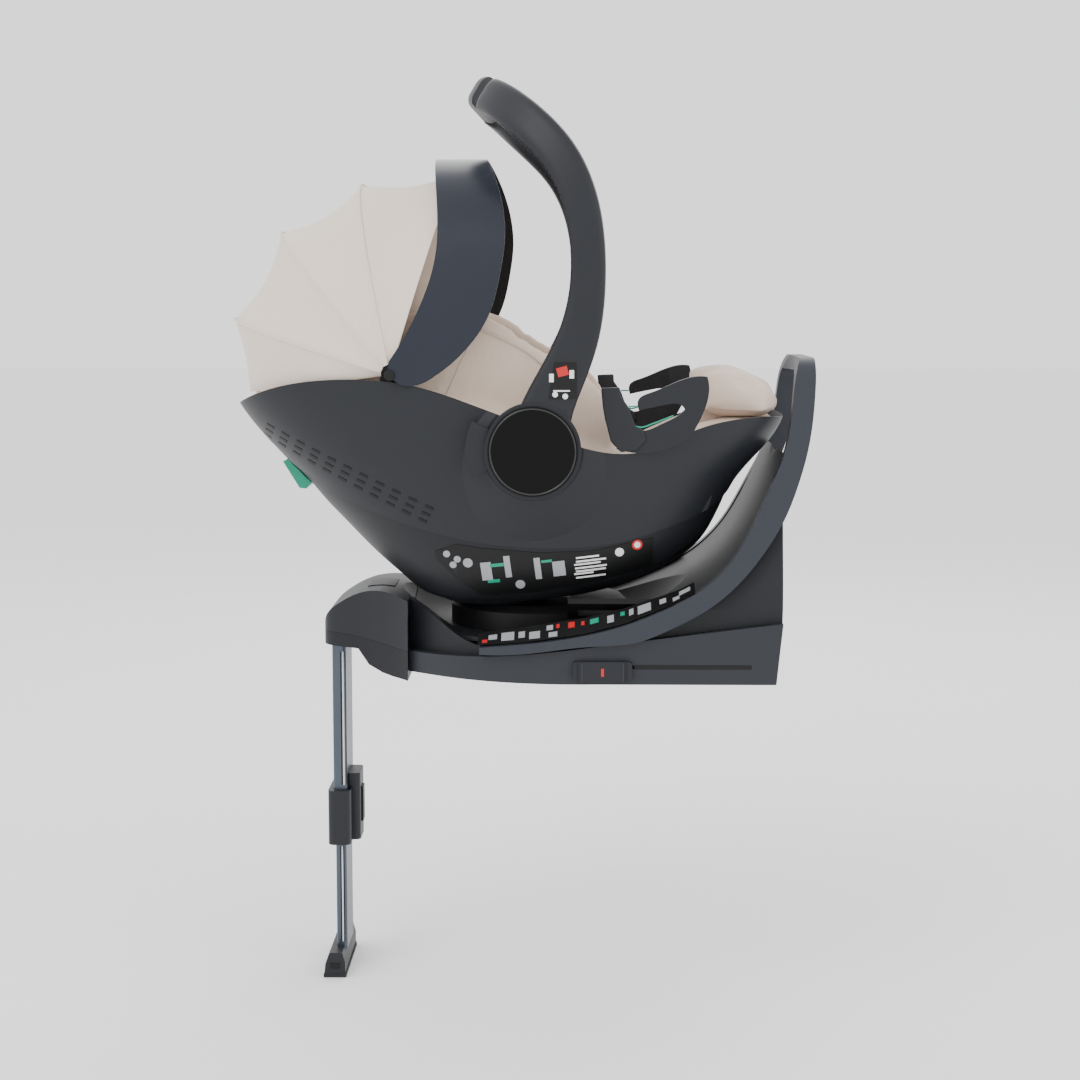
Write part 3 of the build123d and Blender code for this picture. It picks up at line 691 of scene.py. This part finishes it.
labels = {
    "shell": [(-116, 147, 139), (-92, 156, 112), (-64, 152, 92), (0, 147, 98), (60, 149, 110), (130, 163, 127)],
    "shellRound": [(-103, 144, 4), (-91, 138, 4), (-96, 131, 4), (-79, 134, 5.5), (-20, 108, 5.5)],
    "shellGrey": [(-58, 124, 12, 22), (-34, 130, 7, 26), (0, 128, 7, 26), (24, 128, 14, 18)],
    "shellText": [(56, 142, 26, 2), (60, 138, 34, 2), (56, 134, 30, 2), (60, 130, 36, 2), (60, 126, 34, 2),
                  (52, 122, 22, 2), (60, 118, 34, 2)],
    "shellGreen": [(-46, 132, 16, 4), (-50, 112, 14, 4), (10, 137, 12, 3)],
    "shellRed": [(112, 155, 6)], "shellWhite": [(112, 155, 3.6), (92, 147, 5)],
    "handle": [(13, 322), (44, 322), (43, 362), (19, 362)],
    "handleMarks": [(16, 345, 5, 9), (38, 349, 5, 9), (27, 331, 18, 1.6)], "handleWheels": [(20, 327, 3), (31, 325, 3)],
    "handleRed": [(28, 352, 12, 10)],
}


def marks(rows, turn):
    return [bar(x, z, length, height, turn) for x, z, length, height in rows]


def makeLabels():
    columns = labels["shell"]
    shell = [[(a[0], a[1]), (b[0], b[1]), (b[0], b[2]), (a[0], a[2])] for a, b in zip(columns, columns[1:])]
    bothInlays("shellLabel", shell, "lower_shell", blackSatin, "carrier", "black_plastic")
    raised = {"lift": 0.0008, "depth": 0.0003}
    printed = [("shellRound", labels["shellRound"], greyPrint, "black_plastic"),
               ("shellGrey", marks(labels["shellGrey"], 6.5), greyPrint, "black_plastic"),
               ("shellText", marks(labels["shellText"], 6.5), white, "black_plastic"),
               ("shellGreen", marks(labels["shellGreen"], 6.5), green, "green_plastic"),
               ("shellRed", labels["shellRed"], red, "red_plastic")]
    for name, shapes, finish, slot in printed:
        bothInlays(name, shapes, "lower_shell", finish, "carrier", slot, **raised)
    bothInlays("shellWhite", labels["shellWhite"], "lower_shell", white, "carrier", "black_plastic",
               lift=0.0012, depth=0.0003)
    bothInlays("handleLabel", [labels["handle"]], "handle_bow", blackSatin, "handle", "black_plastic")
    handleShapes = marks(labels["handleMarks"], 0) + labels["handleWheels"]
    bothInlays("handleMarks", handleShapes, "handle_bow", white, "handle", "black_plastic", **raised)
    bothInlays("handleRed", marks(labels["handleRed"], 15), "handle_bow", red, "handle", "red_plastic", **raised)


def disc(name, x, z, y, radius, depth, finish, body, edge=0.0006):
    for side in (nearSide, farSide):
        deselectAll()
        bpy.ops.mesh.primitive_cylinder_add(vertices=48, radius=radius, depth=depth,
                                            location=(x, side * y, z), rotation=(math.pi / 2, 0, 0))
        piece = settle(bpy.context.object)
        piece.name = piece.data.name = name + ("Near" if side == nearSide else "Far")
        modifier(piece, "BEVEL", width=edge, segments=2, limit_method="ANGLE")
        finishModifiers(piece)
        smooth(piece, 40)
        recalc(piece)
        dress(piece, finish, body)


def ring(name, x, z, y, major, minor, finish, body):
    for side in (nearSide, farSide):
        deselectAll()
        bpy.ops.mesh.primitive_torus_add(major_segments=96, minor_segments=12, major_radius=major,
                                         minor_radius=minor, location=(x, side * y, z),
                                         rotation=(math.pi / 2, 0, 0))
        piece = settle(bpy.context.object)
        piece.name = piece.data.name = name + ("Near" if side == nearSide else "Far")
        smooth(piece, 60)
        dress(piece, finish, body)


def makeHub():
    hub = Vector(joints["handle_turn"]["pos_m"])
    ring("hubEdge", hub.x, hub.z, 0.2218, 0.0466, 0.0011, blackGloss, "handle")
    disc("canopyCap", pivot.x, pivot.z, 0.1934, 0.0058, 0.0014, blackSatin, "carrier")


makeVents()
makeLabels()
makeHub()
print("details ready", flush=True)


# curved label strip that stands just inside the near edge of the base band

strip = {
    "lip": [(-72, 39), (-20, 45), (52, 56), (98, 68), (143, 86), (182, 106)],
    "plan": [(-110, 140), (-60, 168), (0, 184), (60, 186), (190, 186)],
    "start": -68.0, "end": 176.0, "inset": 7.5, "slope": 21.0, "rise": 15.0, "endRise": 9.0, "columns": 48,
}
stripMarks = {
    "white": [(0.05, 0.09, 0.35, 0.7), (0.11, 0.17, 0.2, 0.75), (0.19, 0.22, 0.3, 0.7), (0.24, 0.29, 0.15, 0.6),
              (0.32, 0.35, 0.55, 0.85), (0.33, 0.37, 0.1, 0.4), (0.60, 0.63, 0.3, 0.75), (0.70, 0.72, 0.4, 0.8),
              (0.74, 0.80, 0.25, 0.8), (0.84, 0.87, 0.4, 0.75), (0.90, 0.93, 0.2, 0.5), (0.93, 0.98, 0.45, 0.8)],
    "red": [(0.02, 0.045, 0.15, 0.4), (0.365, 0.38, 0.6, 0.85), (0.42, 0.45, 0.5, 0.85), (0.48, 0.495, 0.55, 0.8)],
    "green": [(0.52, 0.56, 0.5, 0.8), (0.66, 0.68, 0.55, 0.8)],
}


def along(curve, x):
    for (x0, v0), (x1, v1) in zip(curve, curve[1:]):
        if x <= x1:
            break
    share = min(1.0, max(0.0, (x - x0) / (x1 - x0)))
    return v0 + (v1 - v0) * share


def stripPoint(share, up, side, lift=0.0):
    x = strip["start"] + (strip["end"] - strip["start"]) * share
    rise = strip["endRise"] + (strip["rise"] - strip["endRise"]) * math.sin(math.pi * min(1.0, share * 1.1)) ** 0.5
    reach = along(strip["plan"], x) - strip["inset"] - strip["slope"] * up + lift * 0.58
    height = along(strip["lip"], x) + 0.6 + rise * up + lift * 0.81
    return Vector((x, side * reach, height)) / 1000


def stripSheet(name, patches, side, lift, depth, finish):
    points, faces = [], []
    for u0, u1, v0, v1 in patches:
        across = max(2, int(strip["columns"] * (u1 - u0)) + 1)
        first = len(points)
        for row in range(5):
            for column in range(across + 1):
                share = u0 + (u1 - u0) * column / across
                points.append(stripPoint(share, v0 + (v1 - v0) * row / 4, side, lift))
        for row in range(4):
            for column in range(across):
                corner = first + row * (across + 1) + column
                faces.append((corner, corner + 1, corner + across + 2, corner + across + 1))
    piece = meshPiece(name + ("Near" if side == nearSide else "Far"), points, faces)
    modifier(piece, "SOLIDIFY", thickness=depth, offset=0)
    finishModifiers(piece)
    recalc(piece)
    smooth(piece, 40)
    dress(piece, finish, "base")


def makeStrip():
    for side in (nearSide, farSide):
        stripSheet("bandLabel", [(0.0, 1.0, 0.0, 1.0)], side, 0.0, 0.0016, blackSatin)
        stripSheet("bandMarks", stripMarks["white"], side, 1.0, 0.0003, greyPrint)
        stripSheet("bandRed", stripMarks["red"], side, 1.0, 0.0003, red)
        stripSheet("bandGreen", stripMarks["green"], side, 1.0, 0.0003, green)


# small trim on the slider blocks, the base and the leg

trim = {
    "sliderMark": (73, 15, 3.2, 9), "sliderRidges": (50, 96), "footInsert": (-245, -366, 12, 7),
    "legStrip": (-242.5, -1.2), "noseTrim": [(-171, 25), (-139, 8), (-154, 21), (-148, 24)],
}


# painted shade: a thin black plate along the slider slot stands in for the dark gap of the slot
slotLip = {"outline": [(108, 17.6), (238, 17.6), (240, 19), (240, 21), (238, 22.4), (108, 22.4)],
           "inner": 178.6, "outer": 180.1, "edge": 0.0003}


def makeTrim():
    x, z, wide, high = trim["sliderMark"]
    bothInlays("sliderMark", [bar(x, z, wide, high)], "slider_blocks", red, "anchor_arms", "red_plastic")
    ridges = [bar(edge, 15.5, 1.6, 21) for edge in trim["sliderRidges"]]
    bothInlays("sliderRidges", ridges, "slider_blocks", bandGrey, "anchor_arms", "slate_plastic")
    for side in (nearSide, farSide):
        # black plate of painted shade over the slider slot, on each side
        plateFrom("slotLip", slotLip, side, blackSatin, "base")
    x, z, wide, high = trim["footInsert"]
    bothInlays("footInsert", [bar(x, z, wide, high)], "leg_foot", blackSatin, "leg_slide", "black_plastic")


makeStrip()
makeTrim()
print("trim ready", flush=True)


# horn stems, green markers, and the seams of the seat cloth; the cloth behind the horn slots is listed but not built

hornStem = {
    "outline": [(92, 262), (81, 274), (74.7, 298), (72, 313), (70.2, 332.6), (90.8, 333.5), (91.6, 324), (99.8, 313),
                (104, 302), (108.4, 291), (116, 286.5), (121, 276), (110, 264)],
    "inner": 180.0, "outer": 189.5, "edge": 0.0018,
}
hornCloth = {
    "outline": [(84, 262), (80, 292), (84, 306), (104, 314), (140, 316), (166, 312), (182, 300), (176, 284)],
    "inner": 160.0, "outer": 175.5, "edge": 0.004,
}
hornGreen = {
    "low": [(108.6, 290.4), (116, 289.6), (126, 293), (138, 297.6), (150, 302.5)],
    "high": [(100.5, 312.4), (110.5, 312.6)], "y": 187.2, "radius": 0.9,
}


def smoothRoute(points, y, steps=10):
    spots = [Vector((x, y, z)) for x, z in points]
    spots = [spots[0] * 2 - spots[1]] + spots + [spots[-1] * 2 - spots[-2]]
    route = []
    for a, b, c, d in zip(spots, spots[1:], spots[2:], spots[3:]):
        for step in range(steps):
            t = step / steps
            route.append(0.5 * (2 * b + (c - a) * t + (2 * a - 5 * b + 4 * c - d) * t * t
                                + (3 * b - a - 3 * c + d) * t ** 3) / 1000)
    return route + [spots[-2] / 1000]


def makeHorns():
    for side in (nearSide, farSide):
        end = "Near" if side == nearSide else "Far"
        plateFrom("hornStem", hornStem, side, slate)
        for part in ("low", "high"):
            line = tube(f"hornGreen{part}{end}", smoothRoute(hornGreen[part], side * hornGreen["y"]),
                        hornGreen["radius"] / 1000, green, 3)
            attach(line, "carrier")


seatSeams = {
    "piping": [(-66, 397), (-39.5, 385.5), (-15.8, 373.5), (3.4, 359), (14, 348)],
    "seam": [(-72.3, 386.7), (-84.3, 363), (-102.4, 323)],
    "tag": [(-33.6, 405.5), (-4.9, 391.5), (-7.3, 382.5), (-36, 396.5)],
}


def clothLine(name, points, radius, side, target="SeatLinerCloth"):
    route = smoothRoute(points, side * 260)
    line = meshPiece(name + ("Near" if side == nearSide else "Far"), route, [])
    line.data.clear_geometry()
    line.data.from_pydata([tuple(p) for p in route], [(k, k + 1) for k in range(len(route) - 1)], [])
    towards = {"use_negative_direction": side == farSide, "use_positive_direction": side == nearSide}
    modifier(line, "SHRINKWRAP", target=bpy.data.objects[target], wrap_method="PROJECT", use_project_y=True,
             offset=radius * 0.3, **towards)
    finishModifiers(line)
    spots = [vertex.co.copy() for vertex in line.data.vertices]
    bpy.data.objects.remove(line)
    landed = [spot for spot in spots if abs(spot.y) < 0.25]
    if len(landed) < 4:
        return
    pipe = tube(name + ("Near" if side == nearSide else "Far"), landed, radius, threadCloth, 3)
    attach(pipe, "carrier")


def makeSeatSeams():
    for side in (nearSide, farSide):
        clothLine("seatPiping", seatSeams["piping"], 0.0016, side)
        clothLine("seatSeam", seatSeams["seam"], 0.0007, side)


# painted highlight strips down the support leg: a light strip for the gloss highlight along the groove, laid on a black
# band of painted groove shade

legStrips = {
    "upper": {"node": "upper_tube", "body": "leg", "heights": (-150, 12), "black": (-237.6, -231.6),
              "bright": (-235.6, -233.6)},
    "lower": {"node": "lower_tube", "body": "leg_slide", "heights": (-344, -226), "black": (-240.4, -235.4),
              "bright": (-238.7, -237.0)},
}


def makeLegStrips():
    for name, values in legStrips.items():
        low, high = values["heights"]
        # black band of painted groove shade, then the light strip of painted highlight on top of it
        for tone, finish, lift in (("black", blackSatin, 0.0003), ("bright", brightStrip, 0.0008)):
            x0, x1 = values[tone]
            bothInlays(f"{name}Leg{tone}", [[(x0, high), (x1, high), (x1, low), (x0, low)]], values["node"],
                       finish, values["body"], "leg_aluminium", lift=lift, depth=0.0003)


makeHorns()
makeSeatSeams()
makeLegStrips()
print("seams ready", flush=True)
